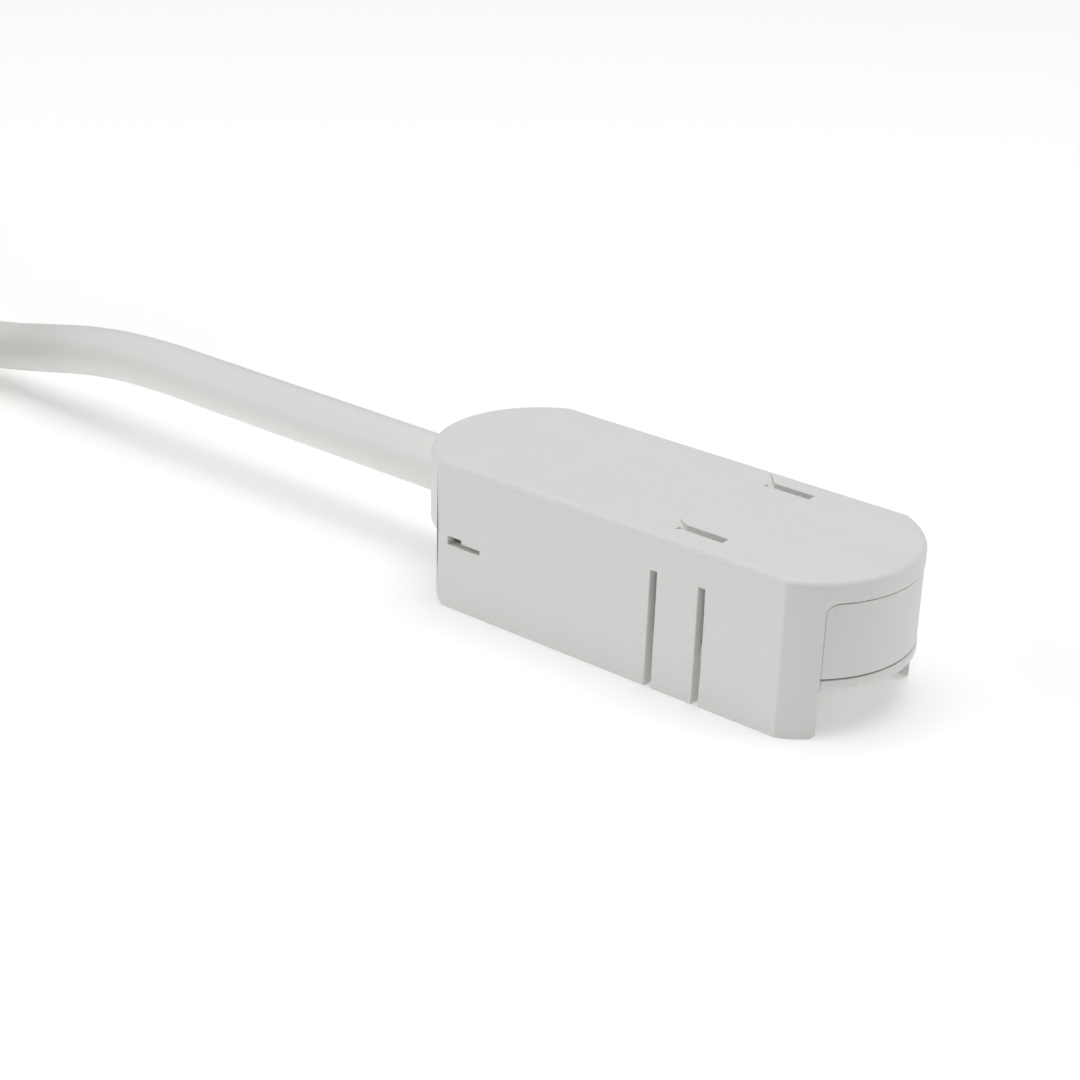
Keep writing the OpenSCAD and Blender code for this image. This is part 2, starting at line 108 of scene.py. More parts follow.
def spread(tree, vector, scale):
    return put(tree, "ShaderNodeVectorMath", {0: vector, 1: scale}, operation="MULTIPLY").outputs[0]


def remap(tree, value, low, high, newLow=0.0, newHigh=1.0):
    return put(tree, "ShaderNodeMapRange", {"Value": value, "From Min": low, "From Max": high,
                                            "To Min": newLow, "To Max": newHigh}).outputs[0]


def noiseAt(tree, vector, scale, detail=2.0, roughness=0.5):
    return put(tree, "ShaderNodeTexNoise", {"Vector": vector, "Scale": scale, "Detail": detail,
                                            "Roughness": roughness}).outputs["Fac"]


def sumOf(tree, *shares):       # each share is a value and its weight
    parts = [arith(tree, "MULTIPLY", value, weight) for value, weight in shares]
    total = parts[0]
    for part in parts[1:]:
        total = arith(tree, "ADD", total, part)
    return total


def makeMouldedSkin():      # spark-eroded mould texture; points in mm
    tree, given, out = startGroup("mouldedSkin", [
        ("Point", "NodeSocketVector", None), ("Grain", "NodeSocketFloat", 3.0),
        ("Flow", "NodeSocketFloat", 0.25)], [
        ("Height", "NodeSocketFloat"), ("Gloss", "NodeSocketFloat"), ("Tone", "NodeSocketFloat")])
    fine = noiseAt(tree, given["Point"], given["Grain"], detail=3.0, roughness=0.6)
    pits = put(tree, "ShaderNodeTexVoronoi", {"Vector": given["Point"], "Scale": given["Grain"],
                                              "Smoothness": 0.6}, feature="SMOOTH_F1").outputs["Distance"]
    slow = noiseAt(tree, given["Point"], 0.11, detail=1.0)
    streaky = noiseAt(tree, spread(tree, given["Point"], (0.12, 1.0, 1.0)), given["Flow"])
    tree.links.new(sumOf(tree, (fine, 0.7), (pits, 0.45)), out["Height"])
    tree.links.new(sumOf(tree, (fine, 0.5), (streaky, 0.5)), out["Gloss"])
    tree.links.new(sumOf(tree, (slow, 0.6), (streaky, 0.4)), out["Tone"])
    return tree


def makeEdgeRubAndHighlight():          # how near a point lies to an outer or inner edge, in broken patches; it marks edge wear, and on the plastics also a painted highlight
    tree, given, out = startGroup("edgeRubAndHighlight", [
        ("Point", "NodeSocketVector", None), ("Width", "NodeSocketFloat", 0.0003)], [
        ("Mask", "NodeSocketFloat")])
    eased = put(tree, "ShaderNodeBevel", {"Radius": given["Width"]}, samples=6).outputs["Normal"]
    flat = put(tree, "ShaderNodeNewGeometry").outputs["Normal"]
    facing = put(tree, "ShaderNodeVectorMath", {0: eased, 1: flat}, operation="DOT_PRODUCT").outputs["Value"]
    rub = remap(tree, facing, 0.995, 0.86)
    patches = noiseAt(tree, given["Point"], 1.3, detail=3.0, roughness=0.6)
    broken = remap(tree, patches, 0.35, 0.62, newLow=0.35)
    tree.links.new(arith(tree, "MULTIPLY", rub, broken), out["Mask"])
    return tree


def makeSettledDust():      # a little dust on what faces up, in soft patches
    tree, given, out = startGroup("settledDust", [("Point", "NodeSocketVector", None)],
                                  [("Mask", "NodeSocketFloat")])
    normal = put(tree, "ShaderNodeNewGeometry").outputs["Normal"]
    upward = put(tree, "ShaderNodeSeparateXYZ", {0: normal}).outputs["Z"]
    level = remap(tree, upward, 0.55, 1.0)
    patches = remap(tree, noiseAt(tree, given["Point"], 0.35, detail=4.0, roughness=0.65), 0.42, 0.7)
    specks = remap(tree, noiseAt(tree, given["Point"], 9.0, roughness=0.7), 0.6, 0.74)
    dust = sumOf(tree, (patches, 0.6), (specks, 0.4))
    tree.links.new(arith(tree, "MULTIPLY", dust, level), out["Mask"])
    return tree


def makeDrawnLines():       # lines left along a drawn wire or an extruded jacket
    tree, given, out = startGroup("drawnLines", [
        ("Point", "NodeSocketVector", None), ("Stretch", "NodeSocketVector", (0.02, 2.0, 2.0)),
        ("Count", "NodeSocketFloat", 2.0)], [
        ("Height", "NodeSocketFloat"), ("Tone", "NodeSocketFloat")])
    along = spread(tree, given["Point"], given["Stretch"])
    lines = noiseAt(tree, along, given["Count"], detail=3.0, roughness=0.6)
    slow = noiseAt(tree, along, 0.4, detail=1.0)
    tree.links.new(lines, out["Height"])
    tree.links.new(sumOf(tree, (lines, 0.4), (slow, 0.6)), out["Tone"])
    return tree


def makeThreads():          # plain weave; Pitch is threads per unit of the point's X and Y
    tree, given, out = startGroup("threads", [
        ("Point", "NodeSocketVector", None), ("Pitch", "NodeSocketFloat", 2.5)], [
        ("Height", "NodeSocketFloat"), ("Tone", "NodeSocketFloat")])
    axes = put(tree, "ShaderNodeSeparateXYZ", {0: given["Point"]}).outputs
    turns = arith(tree, "MULTIPLY", given["Pitch"], math.pi)
    warp = arith(tree, "SINE", arith(tree, "MULTIPLY", axes["X"], turns))
    weft = arith(tree, "SINE", arith(tree, "MULTIPLY", axes["Y"], turns))
    over = arith(tree, "MULTIPLY", warp, weft)
    fuzz = noiseAt(tree, given["Point"], 6.0, detail=3.0, roughness=0.7)
    ribs = arith(tree, "ADD", arith(tree, "ABSOLUTE", warp), arith(tree, "ABSOLUTE", weft))
    tree.links.new(sumOf(tree, (over, 0.3), (ribs, 0.35), (fuzz, 0.3)), out["Height"])
    tree.links.new(sumOf(tree, (ribs, 0.3), (fuzz, 0.5)), out["Tone"])
    return tree


skinGroup, rubAndHighlightGroup, dustGroup = makeMouldedSkin(), makeEdgeRubAndHighlight(), makeSettledDust()
lineGroup, threadGroup = makeDrawnLines(), makeThreads()
print("shader groups made")


# Materials

def startMaterial(name, source="Object"):
    material = bpy.data.materials.new(name)
    material.use_nodes = True
    tree = material.node_tree
    tree.nodes.clear()
    surface = put(tree, "ShaderNodeBsdfPrincipled")
    put(tree, "ShaderNodeOutputMaterial", {"Surface": surface.outputs[0]})
    spot = put(tree, "ShaderNodeTexCoord").outputs[source]
    if source == "Object":
        spot = spread(tree, spot, (1 / mm, 1 / mm, 1 / mm))     # patterns are sized in mm
    return material, tree, surface.inputs, spot


def group(tree, which, inputs):
    return put(tree, "ShaderNodeGroup", inputs, node_tree=which).outputs


def mixed(tree, amount, low, high):
    return put(tree, "ShaderNodeMix", {"Factor": amount, 6: low, 7: high}, data_type="RGBA").outputs[2]


def opaque(color):
    return (*color, 1.0)


def shaded(color, by):
    return tuple(c * by for c in color)


def varied(tree, tone, look):       # a little darker to a little lighter than the look's colour
    dark = opaque(shaded(look["color"], 1 - look["vary"]))
    light = opaque(shaded(look["color"], 1 + look["vary"]))
    return mixed(tree, tone, dark, light)


def roughened(tree, gloss, rough):      # a skin's gloss lies mostly between 0.25 and 0.75
    return remap(tree, gloss, 0.25, 0.75, *rough)


def bumped(tree, height, depth, below=None):
    inputs = {"Height": height, "Distance": depth, "Strength": 1.0}
    if below is not None:
        inputs["Normal"] = below
    return put(tree, "ShaderNodeBump", inputs).outputs[0]


def mouldedPlastic(name, look):
    material, tree, surface, spot = startMaterial(name)
    skin = group(tree, skinGroup, {"Point": spot, "Grain": look["grain"]})
    rub = group(tree, rubAndHighlightGroup, {"Point": spot, "Width": look["rubWidth"]})["Mask"]
    dust = group(tree, dustGroup, {"Point": spot})["Mask"]
    body = varied(tree, skin["Tone"], look)
    # the edges turn a lighter colour: partly edge wear, partly a painted highlight along them
    rubbedAndHighlit = mixed(tree, arith(tree, "MULTIPLY", rub, look["rub"]), body, opaque(look["rubAndHighlightColor"]))
    dusty = mixed(tree, arith(tree, "MULTIPLY", dust, look["dust"]), rubbedAndHighlit, opaque(look["dustColor"]))
    tree.links.new(dusty, surface["Base Color"])
    rough = roughened(tree, skin["Gloss"], look["rough"])
    polished = arith(tree, "SUBTRACT", rough, arith(tree, "MULTIPLY", rub, look["polish"]))
    dulled = arith(tree, "ADD", polished, arith(tree, "MULTIPLY", dust, look["dustRough"]))
    tree.links.new(dulled, surface["Roughness"])
    tree.links.new(bumped(tree, skin["Height"], look["depth"]), surface["Normal"])
    surface["IOR"].default_value = look["ior"]
    return material


# the lighter colour mixed onto the edges is partly edge wear and partly a painted highlight
hoodLook = {
    "color": (0.790, 0.796, 0.778), "vary": 0.010, "grain": 4.5, "depth": 0.000035,
    "rough": (0.46, 0.6), "ior": 1.46, "rubWidth": 0.00028, "rub": 0.3, "polish": 0.14,
    "rubAndHighlightColor": (0.84, 0.84, 0.825), "dust": 0.09, "dustColor": (0.80, 0.795, 0.77), "dustRough": 0.08,
}
capsuleLook = dict(hoodLook, color=(0.780, 0.786, 0.768), grain=5.5, rough=(0.42, 0.55))
lidLook = dict(hoodLook, color=(0.784, 0.789, 0.772), grain=5.0)


def jacketMaterial(name, look):
    material, tree, surface, spot = startMaterial(name, "UV")      # U runs along, V round, in mm
    skin = group(tree, skinGroup, {"Point": spot, "Grain": look["grain"]})
    lines = group(tree, lineGroup, {"Point": spot, "Stretch": look["stretch"], "Count": look["lines"]})
    axes = put(tree, "ShaderNodeSeparateXYZ", {0: spot}).outputs
    turned = sumOf(tree, (axes["X"], 2 * math.pi / look["lay"]),
                   (axes["Y"], look["cores"] * 2 / look["diameter"]))
    swell = arith(tree, "SINE", turned)                            # the twisted cores show faintly
    tone = sumOf(tree, (skin["Tone"], 0.6), (lines["Tone"], 0.4))
    tree.links.new(varied(tree, tone, look), surface["Base Color"])
    tree.links.new(roughened(tree, skin["Gloss"], look["rough"]), surface["Roughness"])
    wavy = bumped(tree, swell, look["swell"])
    drawn = bumped(tree, lines["Height"], look["lineDepth"], wavy)
    tree.links.new(bumped(tree, skin["Height"], look["depth"], drawn), surface["Normal"])
    surface["IOR"].default_value = look["ior"]
    return material


cableLook = {
    "color": (0.815, 0.822, 0.800), "vary": 0.010, "grain": 7.0, "depth": 0.000012,
    "rough": (0.36, 0.48), "ior": 1.5, "stretch": (0.03, 1.2, 1.0), "lines": 2.2,
    "lineDepth": 0.00002, "lay": 42.0, "cores": 4, "diameter": 4.9, "swell": 0.00001,
}


def coreMaterial(name, color):
    look = {"color": color, "vary": 0.06, "rough": (0.22, 0.36), "ior": 1.52, "scuffs": 1.5,
            "lines": 5.0, "stretch": (0.05, 2.0, 2.0), "depth": 0.000012}
    material, tree, surface, spot = startMaterial(name, "UV")
    lines = group(tree, lineGroup, {"Point": spot, "Stretch": look["stretch"], "Count": look["lines"]})
    scuffs = noiseAt(tree, spot, look["scuffs"], detail=4.0, roughness=0.7)
    tree.links.new(varied(tree, lines["Tone"], look), surface["Base Color"])
    tree.links.new(remap(tree, scuffs, 0.4, 0.7, *look["rough"]), surface["Roughness"])
    tree.links.new(bumped(tree, lines["Height"], look["depth"]), surface["Normal"])
    surface["IOR"].default_value = look["ior"]
    return material


def softMaterial(name, look, toothAxis=None):       # rubber, silicone and the toothed nylon tie
    material, tree, surface, spot = startMaterial(name)
    skin = group(tree, skinGroup, {"Point": spot, "Grain": look["grain"]})
    tree.links.new(mixed(tree, skin["Tone"], opaque(look["dark"]), opaque(look["pale"])),
                   surface["Base Color"])
    tree.links.new(roughened(tree, skin["Gloss"], look["rough"]), surface["Roughness"])
    toothed = None
    if toothAxis:
        along = put(tree, "ShaderNodeSeparateXYZ", {0: spot}).outputs[toothAxis]
        teeth = arith(tree, "SINE", arith(tree, "MULTIPLY", along, 2 * math.pi / look["toothPitch"]))
        toothed = bumped(tree, teeth, look["toothDepth"])
    tree.links.new(bumped(tree, skin["Height"], look["depth"], toothed), surface["Normal"])
    surface["Transmission Weight"].default_value = look["clear"]
    return material


rubberLook = {"dark": (0.045, 0.045, 0.046), "pale": (0.11, 0.11, 0.108), "grain": 6.0,
              "rough": (0.62, 0.82), "depth": 0.00003, "clear": 0.0}
siliconeLook = {"dark": (0.62, 0.62, 0.58), "pale": (0.78, 0.78, 0.74), "grain": 1.4,
                "rough": (0.34, 0.5), "depth": 0.00005, "clear": 0.25}
nylonLook = {"dark": (0.66, 0.64, 0.55), "pale": (0.74, 0.72, 0.64), "grain": 2.5, "rough": (0.3, 0.44),
             "depth": 0.00001, "clear": 0.12, "toothPitch": 0.5, "toothDepth": 0.00006}


def laminateMaterial(name):
    look = {"mask": (0.012, 0.105, 0.045), "light": (0.02, 0.17, 0.075), "bare": (0.32, 0.27, 0.12),
            "rubWidth": 0.0001, "rub": 0.7, "pitch": 3.2, "grain": 1.2, "rough": (0.2, 0.34),
            "depth": 0.00001}
    material, tree, surface, spot = startMaterial(name)
    weave = group(tree, threadGroup, {"Point": spot, "Pitch": look["pitch"]})
    skin = group(tree, skinGroup, {"Point": spot, "Grain": look["grain"]})
    rub = group(tree, rubAndHighlightGroup, {"Point": spot, "Width": look["rubWidth"]})["Mask"]
    body = mixed(tree, weave["Tone"], opaque(look["mask"]), opaque(look["light"]))
    tree.links.new(mixed(tree, arith(tree, "MULTIPLY", rub, look["rub"]), body, opaque(look["bare"])),
                   surface["Base Color"])
    tree.links.new(roughened(tree, skin["Gloss"], look["rough"]), surface["Roughness"])
    tree.links.new(bumped(tree, weave["Height"], look["depth"]), surface["Normal"])
    return material


def metalMaterial(name, look):
    material, tree, surface, spot = startMaterial(name)
    lines = group(tree, lineGroup, {"Point": spot, "Stretch": look["stretch"], "Count": look["lines"]})
    stains = remap(tree, noiseAt(tree, spot, 0.9, detail=4.0, roughness=0.6), 0.45, 0.7)
    lined = opaque(shaded(look["color"], look["lineTone"]))
    bright = mixed(tree, lines["Tone"], lined, opaque(look["color"]))
    tree.links.new(mixed(tree, arith(tree, "MULTIPLY", stains, look["stain"]), bright,
                         opaque(look["dull"])), surface["Base Color"])
    tree.links.new(remap(tree, stains, 0, 1, *look["rough"]), surface["Roughness"])
    tree.links.new(bumped(tree, lines["Height"], look["depth"]), surface["Normal"])
    surface["Metallic"].default_value = 1.0
    return material


solderLook = {"color": (0.74, 0.74, 0.73), "dull": (0.42, 0.42, 0.41), "stain": 0.5, "rough": (0.24, 0.48),
              "stretch": (1.0, 1.0, 1.0), "lines": 4.0, "lineTone": 0.92, "depth": 0.00002}
copperLook = {"color": (0.78, 0.42, 0.25), "dull": (0.36, 0.17, 0.09), "stain": 0.6, "rough": (0.28, 0.5),
              "stretch": (0.1, 1.0, 1.0), "lines": 6.0, "lineTone": 0.92, "depth": 0.000005}
reedLook = {"color": (0.66, 0.64, 0.60), "dull": (0.40, 0.39, 0.37), "stain": 0.4, "rough": (0.2, 0.38),
            "stretch": (0.05, 3.0, 3.0), "lines": 5.0, "lineTone": 0.92, "depth": 0.000006}
tinLook = dict(solderLook, stretch=(0.2, 0.2, 0.2), rough=(0.22, 0.4))


def glassMaterial(name):
    look = {"green": (0.62, 0.86, 0.72), "pale": (0.72, 0.92, 0.80), "rough": (0.02, 0.06), "ior": 1.5,
            "stretch": (0.2, 1.0, 1.0), "waves": 0.8, "depth": 0.00002}
    material, tree, surface, spot = startMaterial(name)
    waves = noiseAt(tree, spread(tree, spot, look["stretch"]), look["waves"])
    tree.links.new(mixed(tree, waves, opaque(look["green"]), opaque(look["pale"])), surface["Base Color"])
    tree.links.new(remap(tree, waves, 0.3, 0.7, *look["rough"]), surface["Roughness"])
    tree.links.new(bumped(tree, waves, look["depth"]), surface["Normal"])
    surface["Transmission Weight"].default_value = 1.0
    surface["IOR"].default_value = look["ior"]
    return material


def strapMaterial(name):
    look = {"dark": (0.016, 0.016, 0.018), "worn": (0.062, 0.062, 0.066), "rough": (0.78, 0.95),
            "pitch": 2.4, "loops": 3.2, "loopTone": 0.35, "loopHeight": 0.5, "depth": 0.00018,
            "sheen": 0.25}
    material, tree, surface, spot = startMaterial(name, "UV")      # U along, V across, in mm
    weave = group(tree, threadGroup, {"Point": spot, "Pitch": look["pitch"]})
    loops = put(tree, "ShaderNodeTexVoronoi", {"Vector": spot, "Scale": look["loops"]}).outputs["Distance"]
    tone = arith(tree, "ADD", weave["Tone"], arith(tree, "MULTIPLY", loops, look["loopTone"]))
    tree.links.new(mixed(tree, tone, opaque(look["dark"]), opaque(look["worn"])), surface["Base Color"])
    tree.links.new(remap(tree, weave["Tone"], 0.1, 0.9, *look["rough"]), surface["Roughness"])
    pile = arith(tree, "ADD", weave["Height"], arith(tree, "MULTIPLY", loops, look["loopHeight"]))
    tree.links.new(bumped(tree, pile, look["depth"]), surface["Normal"])
    surface["Sheen Weight"].default_value = look["sheen"]
    return material


finish = {
    "hood": mouldedPlastic("hoodPlastic", hoodLook),
    "capsule": mouldedPlastic("capsulePlastic", capsuleLook),
    "lid": mouldedPlastic("lidPlastic", lidLook),
    "jacket": jacketMaterial("cableJacket", cableLook),
    "rubber": softMaterial("sleeveRubber", rubberLook),
    "nylon": softMaterial("clampNylon", nylonLook, "Z"),
    "laminate": laminateMaterial("boardLaminate"),
    "copper": metalMaterial("trackCopper", copperLook),
    "solder": metalMaterial("solderTin", solderLook),
    "reed": metalMaterial("reedPlating", reedLook),
    "tin": metalMaterial("strandTin", tinLook),
    "silicone": softMaterial("reedSilicone", siliconeLook),
    "glass": glassMaterial("reedGlass"),
    "strap": strapMaterial("strapFabric"),
}
coreColors = {"white": (0.66, 0.66, 0.64), "brown": (0.075, 0.028, 0.011),
              "green": (0.012, 0.16, 0.035), "yellow": (0.66, 0.42, 0.015)}
for shade, color in coreColors.items():
    finish[shade] = coreMaterial("insulation_" + shade, color)
print("materials made:", len(finish))


# Helpers for meshes

def newPiece(name, mesh, body, material):
    piece = bpy.data.objects.new(name, mesh)
    scene.collection.objects.link(piece)
    mesh.materials.clear()
    mesh.materials.append(material)
    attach(piece, body)
    return piece


def meshFrom(name, bm):
    mesh = bpy.data.meshes.new(name)
    bm.to_mesh(mesh)
    bm.free()
    return mesh


def smoothFaces(mesh, sharpAngle=35.0):
    mesh.polygons.foreach_set("use_smooth", [True] * len(mesh.polygons))
    mesh.set_sharp_from_angle(angle=math.radians(sharpAngle))


def easeStep(t):
    return t * t * (3.0 - 2.0 * t)


def bezierPoint(p, t):
    s = 1.0 - t
    return p[0] * s ** 3 + p[1] * (3 * s * s * t) + p[2] * (3 * s * t * t) + p[3] * t ** 3


def smoothThrough(points, steps):       # an even curve through every point
    made = []
    last = len(points) - 1
    for i in range(last):
        before, a, b, after = points[max(i - 1, 0)], points[i], points[i + 1], points[min(i + 2, last)]
        handles = (a, a + (b - before) / 6, b - (after - a) / 6, b)
        made += [bezierPoint(handles, k / steps) for k in range(steps)]
    return made + [points[last]]


def tubeMesh(name, points, radius, sides):
    curve = bpy.data.curves.new(name, "CURVE")
    curve.dimensions = "3D"
    curve.bevel_depth = radius
    curve.bevel_resolution = (sides - 4) // 2       # a resolution of 0 has four sides
    line = curve.splines.new("POLY")
    line.points.add(len(points) - 1)
    for spot, p in zip(line.points, points):
        spot.co = (*p, 1.0)
    holder = bpy.data.objects.new(name, curve)
    scene.collection.objects.link(holder)
    mesh = bpy.data.meshes.new_from_object(holder)
    bpy.data.objects.remove(holder)
    bpy.data.curves.remove(curve)
    layUv(mesh, points, radius, sides)
    return mesh


def layUv(mesh, points, radius, sides):     # U along and V round the tube, both in mm
    runs = [0.0]
    for a, b in zip(points, points[1:]):
        runs.append(runs[-1] + (b - a).length)
    uv = mesh.uv_layers[0].data
    side = 2 * math.pi * radius / sides / mm
    for face in mesh.polygons:
        places = [divmod(v, sides) for v in face.vertices]
        wraps = {k for _, k in places} >= {0, sides - 1}
        for loop, (ring, k) in zip(face.loop_indices, places):
            uv[loop].uv = (runs[ring] / mm, side * (sides if wraps and k == 0 else k))


def closeEnds(mesh, wall=0.0, depth=0.0):      # flat ends; the last one may be cut open to its wall
    bm = bmesh.new()
    bm.from_mesh(mesh)
    bm.verts.index_update()
    rims = bmesh.ops.edgeloop_fill(bm, edges=[e for e in bm.edges if e.is_boundary])["faces"]
    if depth:
        cap = max(rims, key=lambda f: max(v.index for v in f.verts))
        bmesh.ops.inset_individual(bm, faces=[cap], thickness=wall)
        back = cap.normal * -depth
        floor = bmesh.ops.extrude_discrete_faces(bm, faces=[cap])["faces"][0]
        bmesh.ops.translate(bm, vec=back, verts=floor.verts)
    bmesh.ops.recalc_face_normals(bm, faces=bm.faces)
    bm.to_mesh(mesh)
    bm.free()
    smoothFaces(mesh)


# The free cable: it leaves the hood level, sinks to the surface and is folded into a tied hank
cable = {
    "diameter": 4.9 * mm, "length": 2.0, "sides": 24, "stepsPerPoint": 3,
    "exit": Vector((-22.2, 0, 8.05)) * mm,
    "route": [(-32, 0, 0), (-36, 0, 0), (-40, 0, 0), (-44, 0, 0), (-48, 0, 0), (-52, 0, 0), (-56, 0, 0),
              (-60, 0, 0), (-66, 0, -0.3), (-72, 0, -1.1), (-78, 0, -2.3), (-84, 0, -3.5), (-90, 0, -4.4),
              (-97, 0, -4.9), (-104, 0, -5)],
    "wall": 0.75 * mm, "cutDepth": 1.2 * mm,
}
hank = {
    "x": -104 * mm, "run": 82.5 * mm, "bend": 14.7 * mm, "pitch": 5.0 * mm,
    "columns": 2, "layers": 4, "lift": 0.6 * mm,
    # a turn is 360 steps: a run, a fold, the run back and a fold; it lies level, then changes place,
    # and is level for fewer steps before and after a change of column
    "runSteps": 100, "foldSteps": 80, "level": 290, "change": 70, "earlier": 75, "last": 155, "step": 2.5,
}
outerBend = hank["bend"] + (hank["columns"] - 1) * hank["pitch"]
hankHalf = outerBend + cable["diameter"] / 2
hankTop = hank["lift"] + (hank["layers"] - 1) * hank["pitch"] + cable["diameter"]


def hankPoint(at, radius, height):
    half = hank["runSteps"] + hank["foldSteps"]
    at %= 2 * half
    way, at = (1, at) if at < half else (-1, at - half)
    middle = hank["x"] - hank["run"] / 2
    if at < hank["runSteps"]:
        along, across = hank["run"] * (0.5 - at / hank["runSteps"]), radius
    else:
        a = math.pi * (at - hank["runSteps"]) / hank["foldSteps"]
        along, across = -hank["run"] / 2 - radius * math.sin(a), radius * math.cos(a)
    return Vector((middle + way * along, way * across - outerBend, height))


def hankPlaces():       # column, radius and height of each turn: up the outer column and down the next
    for column in range(hank["columns"]):
        layers = range(hank["layers"])
        for layer in (layers if column % 2 == 0 else reversed(layers)):
            height = hank["lift"] + cable["diameter"] / 2 + layer * hank["pitch"]
            yield column, outerBend - column * hank["pitch"], height


def hankPoints():
    places = list(hankPlaces())
    points, at, step = [], 0.0, hank["step"]
    for i, (column, radius, height) in enumerate(places):
        following = places[i + 1] if i + 1 < len(places) else None
        level = hank["level"] if following else hank["last"]
        if column > 0 and places[i - 1][0] != column:
            level -= hank["earlier"]
        if following and following[0] != column:
            level -= hank["earlier"]
        points += [hankPoint(at + k * step, radius, height) for k in range(int(level / step))]
        at += level
        if following:
            for k in range(int(hank["change"] / step)):
                t = easeStep(k * step / hank["change"])
                points.append(hankPoint(at + k * step, radius + (following[1] - radius) * t,
                                        height + (following[2] - height) * t))
            at += hank["change"]
    return points + [hankPoint(at, radius, height)]


turns = hankPoints()
exitHeight = Vector((0, 0, cable["exit"].z))
freeRun = [cable["exit"]] + [Vector(p) * mm + exitHeight for p in cable["route"]]
cablePath = smoothThrough(freeRun, cable["stepsPerPoint"])[:-1] + turns
cableMesh = tubeMesh("sensorCable", cablePath, cable["diameter"] / 2, cable["sides"])
closeEnds(cableMesh, cable["wall"], cable["cutDepth"])
sensorCable = newPiece("sensorCable", cableMesh, "sensor", finish["jacket"])
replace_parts(sensorCable, "cable_run", "cable_hank")
print("cable laid:", round(sum((b - a).length for a, b in zip(cablePath, cablePath[1:])), 4), "m")


strap = {
    "width": 6 * mm, "thickness": 0.5 * mm, "gap": 0.05 * mm, "corner": 2.4 * mm,
    "lap": 26 * mm, "rise": 8 * mm, "tabRound": 2.4 * mm, "along": 220, "across": 8,
    "edge": 0.12 * mm, "edgeSegments": 2,
}
strapSides = (2 * (hankHalf - strap["corner"]), hankTop - hank["lift"] - 2 * strap["corner"]) * 2
strapTurn = math.pi / 2 * strap["corner"]


def strapSection(run, out):     # a point round the hank's rounded section, out from it by out
    run %= sum(strapSides) + 4 * strapTurn
    y, z, heading = -outerBend - hankHalf + strap["corner"], hankTop - strap["corner"], 0.0
    reach = strap["corner"] + out
    for side in strapSides:
        cos, sin = math.cos(heading), math.sin(heading)
        if run < side:
            return y + cos * run + sin * reach, z - sin * run + cos * reach
        y, z, run = y + cos * side, z - sin * side, run - side
        if run < strapTurn:
            a = heading + run / strap["corner"]
            return y + math.sin(a) * reach, z + math.cos(a) * reach
        run, heading = run - strapTurn, heading + math.pi / 2


def strapMesh():
    around = sum(strapSides) + 4 * strapTurn
    length = around + strap["lap"]
    first = strap["gap"] + strap["thickness"] / 2
    second = strap["thickness"] + strap["gap"]
    bm = bmesh.new()
    uvLayer = bm.loops.layers.uv.new("UVMap")
    bmesh.ops.create_grid(bm, x_segments=strap["along"], y_segments=strap["across"], size=0.5)    # 1 by 1
    for face in bm.faces:
        for loop in face.loops:
            spot = loop.vert.co
            loop[uvLayer].uv = ((spot.x + 0.5) * length / mm, (spot.y + 0.5) * strap["width"] / mm)
    for v in bm.verts:
        run = (v.co.x + 0.5) * length
        narrow, left = 1.0, length - run
        if left < strap["tabRound"]:        # the free end is rounded
            narrow = 0.5 + 0.5 * math.sqrt(max(0.0, 1 - (1 - left / strap["tabRound"]) ** 2))
        lifted = first + second * easeStep(min(1.0, max(0.0, (run - around + strap["rise"]) / strap["rise"])))
        y, z = strapSection(run, lifted)
        v.co = (hank["x"] - hank["run"] / 2 + v.co.y * strap["width"] * narrow, y, z)
    bmesh.ops.recalc_face_normals(bm, faces=bm.faces)
    return meshFrom("hankStrap", bm)


hankStrap = newPiece("hankStrap", strapMesh(), "sensor", finish["strap"])
thicken = hankStrap.modifiers.new("thickness", "SOLIDIFY")
thicken.thickness, thicken.offset = strap["thickness"], 0.0
rounded = hankStrap.modifiers.new("edges", "BEVEL")
rounded.limit_method = "ANGLE"
rounded.width, rounded.segments = strap["edge"], strap["edgeSegments"]
smoothFaces(hankStrap.data)
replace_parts(hankStrap, "hank_strap")


# The four leads come out of the cut jacket and lie down inside the hank
leads = {
    "diameter": 1.1 * mm, "sides": 16, "steps": 40, "foot": 0.6 * mm, "inside": 1.0 * mm,
    "spread": 0.17,                                                           # of the cable's diameter
    "ends": [(-23, -3.8), (-22.5, -8.6), (-21.5, -12.6), (-19, -16.8)],       # mm from the jacket's end
    "headings": [188, 204, 216, 232], "reach": [11, 9, 8, 7], "straight": 1 * mm,
    "side": [1, 1, -1, -1], "high": [-1, 1, 1, -1],
}
tips = {"length": 6 * mm, "strand": 0.1 * mm, "ring": 0.2 * mm, "twist": 3.2 * mm, "count": 6,
        "steps": 24, "sides": 8}
leadNames = ["white", "brown", "green", "yellow"]


def leadHeading(k):
    a = math.radians(leads["headings"][k])
    return Vector((math.cos(a), math.sin(a), 0))


def leadFoot(k):
    foot = turns[-1] + Vector((*leads["ends"][k], 0)) * mm
    return Vector((foot.x, foot.y, leads["foot"]))


def leadPath(k):
    apart = cable["diameter"] * leads["spread"]
    start = turns[-1] + Vector((0, leads["side"][k] * apart, leads["high"][k] * apart))
    out, aim, reach = Vector((-1, 0, 0)), leadHeading(k), leads["reach"][k] * mm
    last = leadFoot(k) - aim * leads["straight"]
    handles = (start, start + out * reach, last - aim * reach, last)
    bend = [bezierPoint(handles, i / leads["steps"]) for i in range(leads["steps"] + 1)]
    return [start - out * leads["inside"]] + bend + [leadFoot(k)]


